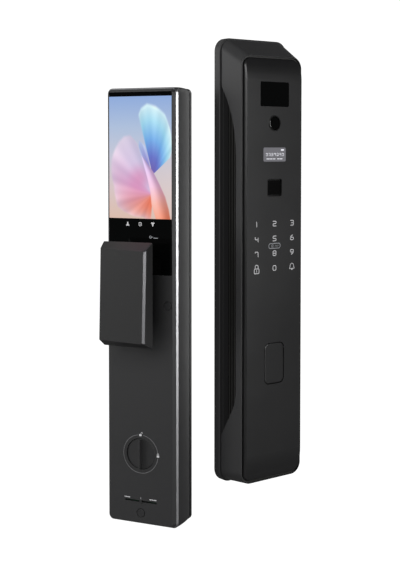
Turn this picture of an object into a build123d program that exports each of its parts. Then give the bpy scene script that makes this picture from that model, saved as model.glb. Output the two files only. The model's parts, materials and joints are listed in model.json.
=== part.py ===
from build123d import *
from math import atan2, cos, degrees, radians, sin
import os

# A keypad smart lock: the outside unit with its keypad and grips, and the inside unit with its
# screen, push handle and thumb turn. The outside unit's mounting face is the plane y = 0, it
# faces -Y, and the origin is the centre of that face. The inside unit stands beside it, turned
# to the left, as the pair is laid out before it is fitted to a door.
# In both units a depth is counted from the mounting face towards the user.

# ---- driving dimensions, mm ----
PLATE_W, PLATE_H, PLATE_R = 84.0, 422.5, 12.5   # outside back plate
GASKET = 1.5                                    # foam seal under each back plate
RIM_TOP = 9.5                                   # front of the outside back plate's rim
BODY_BASE = 10.3                                # the body stands off the rim by a shadow line
BODY_TOP = 36.2                                 # front edge of the outside body
BODY_INSET = 1.7                                # body's base inside the plate's outline
PANEL_W, PANEL_H, PANEL_R = 70.0, 398.0, 9.0    # outside front panel
PANEL_UP = 192.0                                # its top edge
PANEL_BACK, PANEL_FRONT = 34.6, 40.0
PANEL_WALL = 2.4
PANEL_MID = PANEL_UP - PANEL_H / 2
SHADOW_GAP, LIP = 1.4, 0.9                      # gap round the panel, and the lip outside it
CAVITY_W, CAVITY_LOW, CAVITY_UP = 62.0, -201.0, 188.0
GRIP_BACK, GRIP_FRONT = 10.3, 29.0              # depth span of the finger grips
GRIP_UP, GRIP_LOW = 165.7, -164.6               # their upper and lower ends

UNIT_W, UNIT_H, UNIT_R = 75.2, 417.0, 5.5       # inside unit
SHELL_BACK, SHELL_FRONT = 6.2, 31.6
TRIM_FRONT = 33.5                               # front of the bright trim
FACE_FRONT = 37.0                               # front of the face plate
FACE_WALL = 2.4
BEVEL = 3.9                                     # from the unit's side to the flat of its face
FACE_W, FACE_H = UNIT_W - 2 * BEVEL, UNIT_H - 2 * BEVEL
GLASS_LOW = 32.2                                # lower edge of the black glass
HANDLE_Z = 16.0                                 # centre of the push handle
HANDLE_W, HANDLE_H = 51.2, 97.4                 # its widest outline
HANDLE_FACE_W, HANDLE_FACE_H = 45.8, 85.0
HANDLE_REACH, HANDLE_WAIST, HANDLE_GAP = 37.7, 24.9, 20.0   # face, widest part and back
NECK_W, NECK_H = 25.0, 60.0
TURN_Z, TURN_R = -139.5, 14.6                   # thumb turn
SLOT_Z, SLOT_L, SLOT_H = -185.1, 34.0, 1.8      # mode slider's slot
BUTTON_R, MOAT, MOAT_D = 3.8, 0.9, 0.7          # round buttons, and the groove round each
SIDE_BUTTON = (28.9, 3.6)
LOWER_BUTTON = (0.0, -196.4)

GAP = 0.3                                       # clearance round moving pieces
FIT = 0.05                                      # radial clearance of a shaft in its hole
BOLTS_W, BOLTS_H, BOLTS_Z = 38.0, 260.0, -20.0  # fixing bolts through the door
BOLT_R, POST_R = 2.5, 5.0
CABLE_Z, INSIDE_CABLE_Z, CABLE_R = 60.0, 105.0, 8.0   # the lead's hole in each unit
CYLINDER_Z, CYLINDER_R, PLUG_R = -96.0, 10.0, 6.5

INSIDE_YAW = -62.0                              # how the inside unit stands beside the other
INSIDE_AT = (-68.6, 53.7, -43.7)                # centre of its mounting face

OUT = Plane.XZ
IN = Plane(
    origin=INSIDE_AT,
    x_dir=(cos(radians(INSIDE_YAW)), sin(radians(INSIDE_YAW)), 0),
    z_dir=(sin(radians(INSIDE_YAW)), -cos(radians(INSIDE_YAW)), 0),
)

os.makedirs("parts", exist_ok=True)


def save(piece, name):
    """Label a finished piece and write it as its own node."""
    piece.part.label = name
    export_step(piece.part, f"parts/{name}.step")


def slab(plane, back, front, width, height, radius, at=(0, 0), mode=Mode.ADD, taper=0):
    """A rounded rectangle between two depths."""
    with BuildSketch(plane.offset(back)) as outline:
        with Locations(at):
            RectangleRounded(width, height, radius)
    extrude(outline.sketch, amount=front - back, taper=taper, mode=mode)


def rod(plane, back, front, radius, places=((0, 0),), mode=Mode.ADD):
    """Round bars, or holes, between two depths."""
    with BuildSketch(plane.offset(back)) as outline:
        with Locations(*places):
            Circle(radius)
    extrude(outline.sketch, amount=front - back, mode=mode)


def corners(width, height, centre):
    """The four corner places of a rectangle, centred at a height."""
    return [(x * width / 2, centre + z * height / 2) for x in (-1, 1) for z in (-1, 1)]


def screws(plane, head_back, tip, places, head_r=2.8, shank_r=1.45, head_h=1.8):
    """Pan-head screws driven from the door side, each with a hexagon socket."""
    rod(plane, head_back, head_back + head_h, head_r, places)
    rod(plane, head_back + head_h, tip, shank_r, places)
    with BuildSketch(plane.offset(head_back)) as sockets:
        with Locations(*places):
            RegularPolygon(head_r * 0.5, 6)
    extrude(sockets.sketch, amount=head_h * 0.6, mode=Mode.SUBTRACT)


# ======================= outside unit =======================
FRONT_W, FRONT_H = PANEL_W + 2 * (SHADOW_GAP + LIP), PANEL_H + 2 * (SHADOW_GAP + LIP)
BODY_SCREWS = [(-24, 198), (24, 198), (-24, -205.2), (24, -205.2)]
BOLTS = corners(BOLTS_W, BOLTS_H, BOLTS_Z)
CAVITY_H, CAVITY_MID = CAVITY_UP - CAVITY_LOW, (CAVITY_UP + CAVITY_LOW) / 2
TAMPER = (0, 150)
TAMPER_R = 3.0

with BuildPart() as outside_gasket:
    slab(OUT, 0, GASKET - 0.05, PLATE_W - 3, PLATE_H - 3, PLATE_R - 1.5)
    rod(OUT, 0, 5, BOLT_R + 0.5, BOLTS, mode=Mode.SUBTRACT)
    rod(OUT, 0, 5, CABLE_R + 2.5, [(0, CABLE_Z)], mode=Mode.SUBTRACT)
    rod(OUT, 0, 5, 7.0, [(0, CYLINDER_Z)], mode=Mode.SUBTRACT)
    rod(OUT, 0, 5, TAMPER_R + FIT, [TAMPER], mode=Mode.SUBTRACT)
save(outside_gasket, "outside_gasket")

with BuildPart() as outside_back_plate:
    slab(OUT, GASKET, RIM_TOP, PLATE_W, PLATE_H, PLATE_R)
    fillet(outside_back_plate.faces().sort_by(Axis.Y)[0].edges(), 1.0)
    slab(OUT, RIM_TOP - 0.5, BODY_BASE - 0.05, PLATE_W - 8, PLATE_H - 8, PLATE_R - 4)
    slab(OUT, 4.0, BODY_BASE, 64, CAVITY_H, 5, at=(0, CAVITY_MID), mode=Mode.SUBTRACT)
    rod(OUT, GASKET, 5, POST_R + FIT, BOLTS, mode=Mode.SUBTRACT)
    rod(OUT, GASKET, 5, CABLE_R + 2.5, [(0, CABLE_Z)], mode=Mode.SUBTRACT)
    rod(OUT, GASKET, 5, 7.0, [(0, CYLINDER_Z)], mode=Mode.SUBTRACT)
    rod(OUT, GASKET, 5, TAMPER_R + FIT, [TAMPER], mode=Mode.SUBTRACT)
    rod(OUT, GASKET, GASKET + 2, 3.0, BODY_SCREWS, mode=Mode.SUBTRACT)
    rod(OUT, GASKET, BODY_BASE, 1.5, BODY_SCREWS, mode=Mode.SUBTRACT)
save(outside_back_plate, "outside_back_plate")

with BuildPart() as outside_bolt_posts:
    rod(OUT, GASKET, 14, POST_R, BOLTS)
    rod(OUT, GASKET, 14, BOLT_R, BOLTS, mode=Mode.SUBTRACT)
save(outside_bolt_posts, "outside_bolt_posts")

with BuildPart() as outside_cable_grommet:
    rod(OUT, GASKET, 6, CABLE_R + 2.45, [(0, CABLE_Z)])
    rod(OUT, GASKET, 6, CABLE_R, [(0, CABLE_Z)], mode=Mode.SUBTRACT)
save(outside_cable_grommet, "outside_cable_grommet")

with BuildPart() as tamper_plunger:
    rod(OUT, 0, 8, TAMPER_R, [TAMPER])
    rod(OUT, 6.6, 8.0, TAMPER_R + 1.4, [TAMPER])
    fillet(tamper_plunger.faces().sort_by(Axis.Y)[-1].edges(), 0.6)
save(tamper_plunger, "tamper_plunger")

with BuildPart() as outside_body_screws:
    screws(OUT, GASKET + 0.1, 20, BODY_SCREWS)
save(outside_body_screws, "outside_body_screws")


def grip_outline(inset, x):
    """The side view of a finger grip: a long arc above, a slanted run below."""
    front, back = -GRIP_FRONT + inset, -GRIP_BACK
    with BuildSketch(Plane.YZ.offset(x)) as outline:
        with BuildLine():
            start = (front, 100)
            top = TangentArc(start, (back, GRIP_UP - inset), tangent=(0, 1))
            low = FilletPolyline(start, (front, -131 + inset), (back, GRIP_LOW + inset), radius=38)
            Line(top @ 1, low @ 1)
        make_face()
    return outline.sketch


with BuildPart() as outside_body:
    with BuildSketch(OUT.offset(BODY_BASE)) as base_outline:
        RectangleRounded(PLATE_W - 2 * BODY_INSET, PLATE_H - 2 * BODY_INSET, PLATE_R - BODY_INSET)
    with BuildSketch(OUT.offset(BODY_TOP)) as front_outline:
        with Locations((0, PANEL_MID)):
            RectangleRounded(FRONT_W, FRONT_H, PANEL_R + SHADOW_GAP + LIP)
    loft([base_outline.sketch, front_outline.sketch], ruled=True)
    fillet(outside_body.faces().sort_by(Axis.Y)[0].edges(), 0.7)
    slab(OUT, BODY_BASE, BODY_TOP, CAVITY_W, CAVITY_H, 5, at=(0, CAVITY_MID), mode=Mode.SUBTRACT)
    slab(OUT, 32.4, BODY_TOP, PANEL_W + 2 * SHADOW_GAP, PANEL_H + 2 * SHADOW_GAP,
         PANEL_R + SHADOW_GAP, at=(0, PANEL_MID), mode=Mode.SUBTRACT)
    for side in (-1, 1):
        extrude(grip_outline(0, side * 25), amount=side * 20, mode=Mode.SUBTRACT)
    rod(OUT, BODY_BASE, 21, 1.5, BODY_SCREWS, mode=Mode.SUBTRACT)
    with BuildSketch(Plane.XY.offset(-212)) as port_hole:
        with Locations((0, -22)):
            RectangleRounded(10.0, 4.2, 2.0)
    extrude(port_hole.sketch, amount=14, mode=Mode.SUBTRACT)
save(outside_body, "outside_body")

LINER_X, RIB_H, RIB_W, RIB_PITCH = 30.8, 2.2, 1.6, 3.9
for side, name in ((-1, "left_grip_liner"), (1, "right_grip_liner")):
    with BuildPart() as liner:
        extrude(grip_outline(0.4, side * (LINER_X - 1.6)), amount=side * (RIB_H + 1.6))
        with BuildSketch(Plane.YZ.offset(side * LINER_X)) as grooves:
            with Locations(*[(-11.2 - RIB_PITCH * i, 0) for i in range(5)]):
                Rectangle(RIB_PITCH - RIB_W, 400)
        extrude(grooves.sketch, amount=side * 10, mode=Mode.SUBTRACT)
    save(liner, name)

with BuildPart() as emergency_power_port:
    with BuildSketch(Plane.XY.offset(-208.6)) as shell:
        with Locations((0, -22)):
            RectangleRounded(9.6, 3.8, 1.8)
            RectangleRounded(8.6, 2.8, 1.3, mode=Mode.SUBTRACT)
    extrude(shell.sketch, amount=7.7)
    with BuildSketch(Plane.XY.offset(-200.9)) as block:
        with Locations((0, -22)):
            Rectangle(9.6, 3.8)
    extrude(block.sketch, amount=2)
    with BuildSketch(Plane.XY.offset(-207.6)) as tongue:
        with Locations((0, -22)):
            Rectangle(6.4, 0.8)
    extrude(tongue.sketch, amount=6.8)
save(emergency_power_port, "emergency_power_port")

with BuildPart() as outside_panel_carrier:
    slab(OUT, 32.5, PANEL_BACK - 0.1, PANEL_W + 2 * SHADOW_GAP - 0.4, PANEL_H + 2 * SHADOW_GAP - 0.4,
         PANEL_R + 1.2, at=(0, PANEL_MID))
    slab(OUT, 32.5, PANEL_BACK, 60, PANEL_H - 12, 5, at=(0, PANEL_MID), mode=Mode.SUBTRACT)
save(outside_panel_carrier, "outside_panel_carrier")

# Features on the outside panel, each (width, height, centre), all on the panel's middle line
WINDOW = (35.6, 23.2, PANEL_UP - 33.8)          # camera window
PEEP_Z, PEEP_R = PANEL_UP - 61.0, 7.6
DISPLAY = (28.0, 13.3, PANEL_UP - 90.4)
FINGER = (18.6, 16.8, PANEL_UP - 121.6)
KEYS_PITCH, KEYS_TOP = 14.0, PANEL_UP - 155.6   # rows of touch keys under the panel
COVER = (24.3, 38.9, PANEL_UP - 288.2)
COVER_R, COVER_T = 5.5, 2.4
COVER_TOP = COVER[2] + COVER[1] / 2
PIN_Z, PIN_D = COVER_TOP - COVER_R, PANEL_FRONT - COVER_T / 2   # the cover's top swings inwards
PIN_R, PIN_L = 0.6, 27.0

BEND, BEND_RUN = 4.2, 20.0                      # how far the panel's ends lean back, over what run


def panel_profile(shift):
    """Side view of the panel: flat, with both ends leaning back in tangent arcs."""
    front, low = -PANEL_FRONT + shift, PANEL_UP - PANEL_H
    with BuildSketch(Plane.YZ.offset(-PANEL_W)) as side_view:
        with BuildLine():
            flat = Line((front, low + BEND_RUN + 4), (front, PANEL_UP - BEND_RUN))
            up = TangentArc(flat @ 1, (front + BEND, PANEL_UP), tangent=(0, 1))
            down = TangentArc(flat @ 0, (front + BEND, low), tangent=(0, -1))
            Polyline(up @ 1, (-20, PANEL_UP), (-20, low), down @ 1)
        make_face()
    return side_view.sketch


with BuildPart() as outside_front_panel:
    extrude(panel_profile(0), amount=2 * PANEL_W)
    slab(OUT, PANEL_BACK, PANEL_FRONT + 1, PANEL_W, PANEL_H, PANEL_R, at=(0, PANEL_MID),
         mode=Mode.INTERSECT)
    front_edges = outside_front_panel.edges().filter_by(
        lambda e: e.center().Y < -PANEL_BACK - 0.3 and abs(e.center().X) > 0.5 * PANEL_W - 3
        or e.center().Y < -PANEL_BACK - 0.3 and abs(e.center().Z - PANEL_MID) > PANEL_H / 2 - 3)
    front_edges = front_edges.filter_by(lambda e: abs(e.tangent_at(0.5).Y) < 0.6)
    chamfer(front_edges, 1.1)
    slab(OUT, 30, PANEL_FRONT - PANEL_WALL, 64, PANEL_H - 12, 4, at=(0, PANEL_MID),
         mode=Mode.SUBTRACT)
    for pane, depth in ((WINDOW, 1.65), (DISPLAY, 1.45), (FINGER, 3)):
        slab(OUT, PANEL_FRONT - depth, 42, pane[0], pane[1], 1.6, at=(0, pane[2]), mode=Mode.SUBTRACT)
        slab(OUT, 30, 42, pane[0] - 3, pane[1] - 3, 1.2, at=(0, pane[2]), mode=Mode.SUBTRACT)
    rod(OUT, 30, 42, PEEP_R, [(0, PEEP_Z)], mode=Mode.SUBTRACT)
    slab(OUT, 30, 42, COVER[0] + 0.6, COVER[1] + 0.6, COVER_R + GAP, at=(0, COVER[2]),
         mode=Mode.SUBTRACT)
    with BuildSketch(Plane.YZ.offset(-PIN_L / 2 - 0.05)) as pin_hole:
        with Locations((-PIN_D, PIN_Z)):
            Circle(PIN_R + 0.01)
    extrude(pin_hole.sketch, amount=PIN_L + 0.1, mode=Mode.SUBTRACT)
save(outside_front_panel, "outside_front_panel")

with BuildPart() as camera_window:
    slab(OUT, PANEL_FRONT - 1.6, PANEL_FRONT - 0.05, WINDOW[0] - 0.1, WINDOW[1] - 0.1, 1.55,
         at=(0, WINDOW[2]))
save(camera_window, "camera_window")

with BuildPart() as face_camera:
    slab(OUT, 31.0, 32.6, 34, 21, 1, at=(0, WINDOW[2]))
    rod(OUT, 32.6, 37.6, 3.6, [(-10, WINDOW[2] + 2), (10, WINDOW[2] + 2)])
    rod(OUT, 32.6, 36.0, 2.2, [(0, WINDOW[2] + 4), (0, WINDOW[2] - 4)])
    rod(OUT, 36.6, 37.7, 2.2, [(-10, WINDOW[2] + 2), (10, WINDOW[2] + 2)], mode=Mode.SUBTRACT)
save(face_camera, "face_camera")

with BuildPart() as peephole_ring:
    rod(OUT, 37.0, PANEL_FRONT + 0.2, PEEP_R - 0.05, [(0, PEEP_Z)])
    chamfer(peephole_ring.faces().sort_by(Axis.Y)[0].edges(), 0.3)
    rod(OUT, 37.0, 42, PEEP_R - 1.0, [(0, PEEP_Z)], mode=Mode.SUBTRACT)
save(peephole_ring, "peephole_ring")

with BuildPart() as peephole_lens:
    rod(OUT, 37.0, PANEL_FRONT - 0.2, PEEP_R - 1.05, [(0, PEEP_Z)])
    fillet(peephole_lens.faces().sort_by(Axis.Y)[0].edges(), 1.2)
save(peephole_lens, "peephole_lens")

with BuildPart() as peephole_camera:
    slab(OUT, 29.4, 31.0, 15, 15, 1, at=(0, PEEP_Z))
    rod(OUT, 31.0, 36.8, 4.5, [(0, PEEP_Z)])
save(peephole_camera, "peephole_camera")

with BuildPart() as display_window:
    slab(OUT, PANEL_FRONT - 1.4, PANEL_FRONT - 0.1, DISPLAY[0] - 0.1, DISPLAY[1] - 0.1, 1.55,
         at=(0, DISPLAY[2]))
save(display_window, "display_window")

with BuildPart() as display_module:
    slab(OUT, 33.8, 37.4, 30, 17, 0.8, at=(0, DISPLAY[2]))
    slab(OUT, 37.4, 38.3, 24.6, 10, 1.2, at=(0, DISPLAY[2]))
save(display_module, "display_module")

with BuildPart() as fingerprint_ring:
    slab(OUT, 37.2, PANEL_FRONT + 0.1, FINGER[0] - 0.1, FINGER[1] - 0.1, 1.55, at=(0, FINGER[2]))
    slab(OUT, 36, 42, FINGER[0] - 3.1, FINGER[1] - 3.1, 1.2, at=(0, FINGER[2]), mode=Mode.SUBTRACT)
    slab(OUT, 38.2, 42, FINGER[0] - 2.0, FINGER[1] - 2.0, 1.3, at=(0, FINGER[2]),
         mode=Mode.SUBTRACT, taper=-12)
save(fingerprint_ring, "fingerprint_ring")

with BuildPart() as fingerprint_sensor:
    slab(OUT, 34.0, 39.0, FINGER[0] - 3.2, FINGER[1] - 3.2, 1.1, at=(0, FINGER[2]))
save(fingerprint_sensor, "fingerprint_sensor")

with BuildPart() as touch_board:
    slab(OUT, 36.2, 37.4, 60, 60, 1.5, at=(0, KEYS_TOP - 1.5 * KEYS_PITCH))
save(touch_board, "touch_board")

with BuildPart() as key_cover:
    slab(OUT, PANEL_FRONT - COVER_T, PANEL_FRONT, COVER[0], COVER[1], COVER_R, at=(0, COVER[2]))
    top_edges = key_cover.edges().filter_by(Axis.X).group_by(Axis.Z)[-1]
    fillet(top_edges, COVER_T / 2 - 0.02)
    with BuildSketch(Plane.YZ.offset(-20)) as pin_bore:
        with Locations((-PIN_D, PIN_Z)):
            Circle(PIN_R + FIT)
    extrude(pin_bore.sketch, amount=40, mode=Mode.SUBTRACT)
save(key_cover, "key_cover")

with BuildPart() as key_cover_pin:
    with BuildSketch(Plane.YZ.offset(-PIN_L / 2)) as pin_section:
        with Locations((-PIN_D, PIN_Z)):
            Circle(PIN_R)
    extrude(pin_section.sketch, amount=PIN_L)
save(key_cover_pin, "key_cover_pin")

with BuildPart() as key_cylinder:
    rod(OUT, 15, 35.8, CYLINDER_R, [(0, CYLINDER_Z)])
    rod(OUT, 15, 17, CYLINDER_R + 3, [(0, CYLINDER_Z)])
    rod(OUT, 14, 37, PLUG_R + FIT, [(0, CYLINDER_Z)], mode=Mode.SUBTRACT)
save(key_cylinder, "key_cylinder")

with BuildPart() as cylinder_bracket:
    slab(OUT, 12.9, 14.9, 56, 34, 2, at=(0, CYLINDER_Z))
    rod(OUT, 12, 16, PLUG_R + 1.5, [(0, CYLINDER_Z)], mode=Mode.SUBTRACT)
    slab(OUT, 4.0, 12.9, 5, 30, 1, at=(-25.4, CYLINDER_Z))
    slab(OUT, 4.0, 12.9, 5, 30, 1, at=(25.4, CYLINDER_Z))
save(cylinder_bracket, "cylinder_bracket")

with BuildPart() as key_plug:
    rod(OUT, 14.6, 36.0, PLUG_R, [(0, CYLINDER_Z)])
    slab(OUT, 16, 37, 2.0, 9.0, 0.9, at=(0, CYLINDER_Z), mode=Mode.SUBTRACT)
save(key_plug, "key_plug")

with BuildPart() as cylinder_tailpiece:
    slab(OUT, 1.0, 14.5, 2.4, 8.0, 0.6, at=(0, CYLINDER_Z))
save(cylinder_tailpiece, "cylinder_tailpiece")

with BuildPart() as outside_main_board:
    slab(OUT, 22.0, 23.6, 54, 160, 2, at=(0, 60))
    for x, z, w, h in ((-12, 110, 14, 14), (12, 70, 16, 10), (-8, 30, 10, 18), (14, 20, 12, 8)):
        slab(OUT, 23.6, 25.4, w, h, 0.5, at=(x, z))
    slab(OUT, 18.0, 22.0, 18, 8, 0.5, at=(0, CABLE_Z))
save(outside_main_board, "outside_main_board")

with BuildPart() as outside_speaker:
    rod(OUT, 12.0, 17.5, 13.0, [(0, -160)])
    rod(OUT, 17.5, 19.0, 6.0, [(0, -160)])
save(outside_speaker, "outside_speaker")

# ======================= inside unit =======================
NECK_HOLE = (NECK_W + 2 * GAP, NECK_H + 2 * GAP, 4 + GAP)
INSIDE_SCREWS = [(-30, 200.5), (30, 200.5), (-30, -200.5), (30, -200.5)]
HANDLE_SCREWS = corners(12, 40, HANDLE_Z)

with BuildPart() as inside_gasket:
    slab(IN, 0, GASKET - 0.05, UNIT_W - 4, UNIT_H - 4, UNIT_R - 1.5)
    rod(IN, 0, 5, BOLT_R + 0.5, BOLTS, mode=Mode.SUBTRACT)
    rod(IN, 0, 5, CABLE_R + 2.5, [(0, INSIDE_CABLE_Z)], mode=Mode.SUBTRACT)
    rod(IN, 0, 5, 8.0, [(0, TURN_Z)], mode=Mode.SUBTRACT)
save(inside_gasket, "inside_gasket")

with BuildPart() as inside_back_plate:
    slab(IN, GASKET, SHELL_BACK - 0.1, UNIT_W - 1.2, UNIT_H - 1.2, UNIT_R - 0.6)
    slab(IN, 3.5, SHELL_BACK, 66, UNIT_H - 28, 4, mode=Mode.SUBTRACT)
    rod(IN, GASKET, 5, BOLT_R + 0.25, BOLTS, mode=Mode.SUBTRACT)
    rod(IN, GASKET, 5, CABLE_R + 2.5, [(0, INSIDE_CABLE_Z)], mode=Mode.SUBTRACT)
    rod(IN, GASKET, 5, 8.0, [(0, TURN_Z)], mode=Mode.SUBTRACT)
    rod(IN, GASKET, GASKET + 2, 3.0, INSIDE_SCREWS, mode=Mode.SUBTRACT)
    rod(IN, GASKET, SHELL_BACK, 1.5, INSIDE_SCREWS, mode=Mode.SUBTRACT)
save(inside_back_plate, "inside_back_plate")

with BuildPart() as inside_cable_grommet:
    rod(IN, GASKET, 5.5, CABLE_R + 2.45, [(0, INSIDE_CABLE_Z)])
    rod(IN, GASKET, 5.5, CABLE_R, [(0, INSIDE_CABLE_Z)], mode=Mode.SUBTRACT)
save(inside_cable_grommet, "inside_cable_grommet")

with BuildPart() as inside_body_screws:
    screws(IN, GASKET + 0.1, 16, INSIDE_SCREWS)
save(inside_body_screws, "inside_body_screws")

with BuildPart() as inside_housing:
    for depth, crown in ((SHELL_BACK, 1.6), (11.0, 0.5), (18.9, 0.0), (26.8, 0.35), (SHELL_FRONT, 1.0)):
        with BuildSketch(IN.offset(depth)):
            RectangleRounded(UNIT_W - crown, UNIT_H - crown, UNIT_R - crown / 2)
    loft()
    slab(IN, SHELL_BACK, SHELL_FRONT, UNIT_W - 6.5, UNIT_H - 26, 4, mode=Mode.SUBTRACT)
    slab(IN, 18, SHELL_FRONT, UNIT_W - 6.5, UNIT_H - 10, 3, mode=Mode.SUBTRACT)
    rod(IN, SHELL_BACK, 17, 1.5, INSIDE_SCREWS, mode=Mode.SUBTRACT)
save(inside_housing, "inside_housing")

with BuildPart() as inside_trim:
    slab(IN, SHELL_FRONT + 0.05, TRIM_FRONT, UNIT_W - 0.6, UNIT_H - 0.6, UNIT_R - 0.3, taper=36)
    slab(IN, SHELL_FRONT, TRIM_FRONT + 1, UNIT_W - 7, UNIT_H - 7, 2.2, mode=Mode.SUBTRACT)
save(inside_trim, "inside_trim")

FACE_BASE_W, FACE_BASE_H = UNIT_W - 3.4, UNIT_H - 3.4
FACE_TAPER = degrees(atan2((FACE_BASE_W - FACE_W) / 2, FACE_FRONT - TRIM_FRONT))
GLASS_H = FACE_H / 2 - 0.4 - GLASS_LOW
GLASS_Z = GLASS_LOW + GLASS_H / 2
GLASS_T = 1.2
SCREEN = (66.0, 115.0, 142.5)                   # lit area: width, height, centre

with BuildPart() as inside_face_plate:
    slab(IN, TRIM_FRONT + 0.05, FACE_FRONT, FACE_BASE_W, FACE_BASE_H, 4.1, taper=FACE_TAPER)
    slab(IN, SHELL_FRONT + 0.1, TRIM_FRONT + 0.1, UNIT_W - 7.2, UNIT_H - 7.2, 2.1)
    slab(IN, 30, FACE_FRONT - FACE_WALL, FACE_W - 3, FACE_H - 3, 2, mode=Mode.SUBTRACT)
    slab(IN, FACE_FRONT - GLASS_T, 40, FACE_W - 0.8, GLASS_H, 1.0, at=(0, GLASS_Z), mode=Mode.SUBTRACT)
    slab(IN, 30, 40, SCREEN[0] - 4, SCREEN[1], 1.0, at=(0, SCREEN[2]), mode=Mode.SUBTRACT)
    slab(IN, 30, 40, *NECK_HOLE, at=(0, HANDLE_Z), mode=Mode.SUBTRACT)
    rod(IN, 30, 40, TURN_R + GAP, [(0, TURN_Z)], mode=Mode.SUBTRACT)
    rod(IN, FACE_FRONT - 1.2, 40, 18.55, [(0, TURN_Z)], mode=Mode.SUBTRACT)
    slab(IN, 30, 40, SLOT_L, SLOT_H, 0.85, at=(0, SLOT_Z), mode=Mode.SUBTRACT)
    rod(IN, 30, 40, BUTTON_R + GAP, [SIDE_BUTTON, LOWER_BUTTON], mode=Mode.SUBTRACT)
    rod(IN, FACE_FRONT - MOAT_D, 40, BUTTON_R + MOAT, [SIDE_BUTTON, LOWER_BUTTON], mode=Mode.SUBTRACT)
save(inside_face_plate, "inside_face_plate")

with BuildPart() as display_glass:
    slab(IN, FACE_FRONT - GLASS_T + 0.05, FACE_FRONT, FACE_W - 0.9, GLASS_H - 0.1, 0.95,
         at=(0, GLASS_Z))
    slab(IN, 30, 40, *NECK_HOLE, at=(0, HANDLE_Z), mode=Mode.SUBTRACT)
save(display_glass, "display_glass")

with BuildPart() as screen_module:
    slab(IN, 28.5, FACE_FRONT - FACE_WALL - 0.1, 63.5, 119, 1.0, at=(0, SCREEN[2]))
    slab(IN, FACE_FRONT - FACE_WALL - 0.1, FACE_FRONT - GLASS_T, 61.5, 114.5, 0.8, at=(0, SCREEN[2]))
save(screen_module, "screen_module")

with BuildPart() as handle_guide:
    slab(IN, 23, FACE_FRONT - FACE_WALL - 0.1, NECK_W + 5.6, NECK_H + 5.6, 6, at=(0, HANDLE_Z))
    slab(IN, 20, 40, *NECK_HOLE, at=(0, HANDLE_Z), mode=Mode.SUBTRACT)
save(handle_guide, "handle_guide")

with BuildPart() as handle_neck:
    slab(IN, 25, FACE_FRONT + HANDLE_GAP - 0.05, NECK_W, NECK_H, 4, at=(0, HANDLE_Z))
    slab(IN, 25, FACE_FRONT + HANDLE_GAP - 3, NECK_W - 6, NECK_H - 6, 2, at=(0, HANDLE_Z),
         mode=Mode.SUBTRACT)
    rod(IN, 50, 60, 1.45, HANDLE_SCREWS, mode=Mode.SUBTRACT)
save(handle_neck, "handle_neck")

WAIST = FACE_FRONT + HANDLE_WAIST
with BuildPart() as handle_back:
    with BuildSketch(IN.offset(FACE_FRONT + HANDLE_GAP)) as back_outline:
        with Locations((0, HANDLE_Z)):
            RectangleRounded(HANDLE_W - 9, HANDLE_H - 9, 1.2)
    with BuildSketch(IN.offset(WAIST)) as waist_outline:
        with Locations((0, HANDLE_Z)):
            RectangleRounded(HANDLE_W, HANDLE_H, 1.2)
    loft([back_outline.sketch, waist_outline.sketch], ruled=True)
    slab(IN, FACE_FRONT + HANDLE_GAP + 2, 70, HANDLE_W - 12, HANDLE_H - 12, 1, at=(0, HANDLE_Z),
         mode=Mode.SUBTRACT)
    rod(IN, 50, 60, 1.45, HANDLE_SCREWS, mode=Mode.SUBTRACT)
save(handle_back, "handle_back")

# The grip's face leans a little, and a narrow flat runs down each long edge of it.
FACE_LEAN, EDGE_FLAT = 1.9, 2.2
FACE_PLANE = Plane(origin=IN.offset(FACE_FRONT + HANDLE_REACH).from_local_coords((0, HANDLE_Z, 0)),
                   x_dir=IN.x_dir, z_dir=IN.z_dir).rotated((FACE_LEAN, 0, 0))
with BuildPart() as handle_grip:
    with BuildSketch(IN.offset(WAIST + 0.05)) as grip_base:
        with Locations((0, HANDLE_Z)):
            RectangleRounded(HANDLE_W, HANDLE_H, 1.2)
    with BuildSketch(FACE_PLANE.offset(-EDGE_FLAT)) as grip_shoulder:
        RectangleRounded(HANDLE_FACE_W + 1.6, HANDLE_FACE_H + 2.0, 1.2)
    with BuildSketch(FACE_PLANE) as grip_face:
        RectangleRounded(HANDLE_FACE_W - 2, HANDLE_FACE_H, 1.2)
    loft([grip_base.sketch, grip_shoulder.sketch], ruled=True)
    loft([grip_shoulder.sketch, grip_face.sketch], ruled=True)
    slab(IN, WAIST - 1, WAIST + 7, HANDLE_W - 10, HANDLE_H - 14, 1, at=(0, HANDLE_Z),
         mode=Mode.SUBTRACT)
save(handle_grip, "handle_grip")

with BuildPart() as handle_screws:
    screws(IN, FACE_FRONT + HANDLE_GAP - 4.85, WAIST - 3, HANDLE_SCREWS, shank_r=1.4)
save(handle_screws, "handle_screws")

with BuildPart() as side_button:
    rod(IN, FACE_FRONT - 3.6, FACE_FRONT - 0.1, BUTTON_R, [SIDE_BUTTON])
    fillet(side_button.faces().group_by(SortBy.AREA)[-1].edges(), 0.25)
    rod(IN, FACE_FRONT - 6, FACE_FRONT - 3.6, 1.6, [SIDE_BUTTON])
save(side_button, "side_button")

with BuildPart() as lower_button:
    rod(IN, FACE_FRONT - 3.6, FACE_FRONT - 0.1, BUTTON_R, [LOWER_BUTTON])
    fillet(lower_button.faces().group_by(SortBy.AREA)[-1].edges(), 0.25)
    rod(IN, FACE_FRONT - 6, FACE_FRONT - 3.6, 1.6, [LOWER_BUTTON])
save(lower_button, "lower_button")

with BuildPart() as button_switches:
    for spot in (SIDE_BUTTON, LOWER_BUTTON):
        slab(IN, 26.2, 29.4, 6, 6, 0.5, at=spot)
save(button_switches, "button_switches")

with BuildPart() as thumb_turn_bezel:
    rod(IN, FACE_FRONT - 1.15, FACE_FRONT, 18.5, [(0, TURN_Z)])
    rod(IN, 30, 40, TURN_R + GAP, [(0, TURN_Z)], mode=Mode.SUBTRACT)
    chamfer(thumb_turn_bezel.edges().filter_by(GeomType.CIRCLE).sort_by(SortBy.RADIUS)[0:2], 0.3)
save(thumb_turn_bezel, "thumb_turn_bezel")

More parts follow.
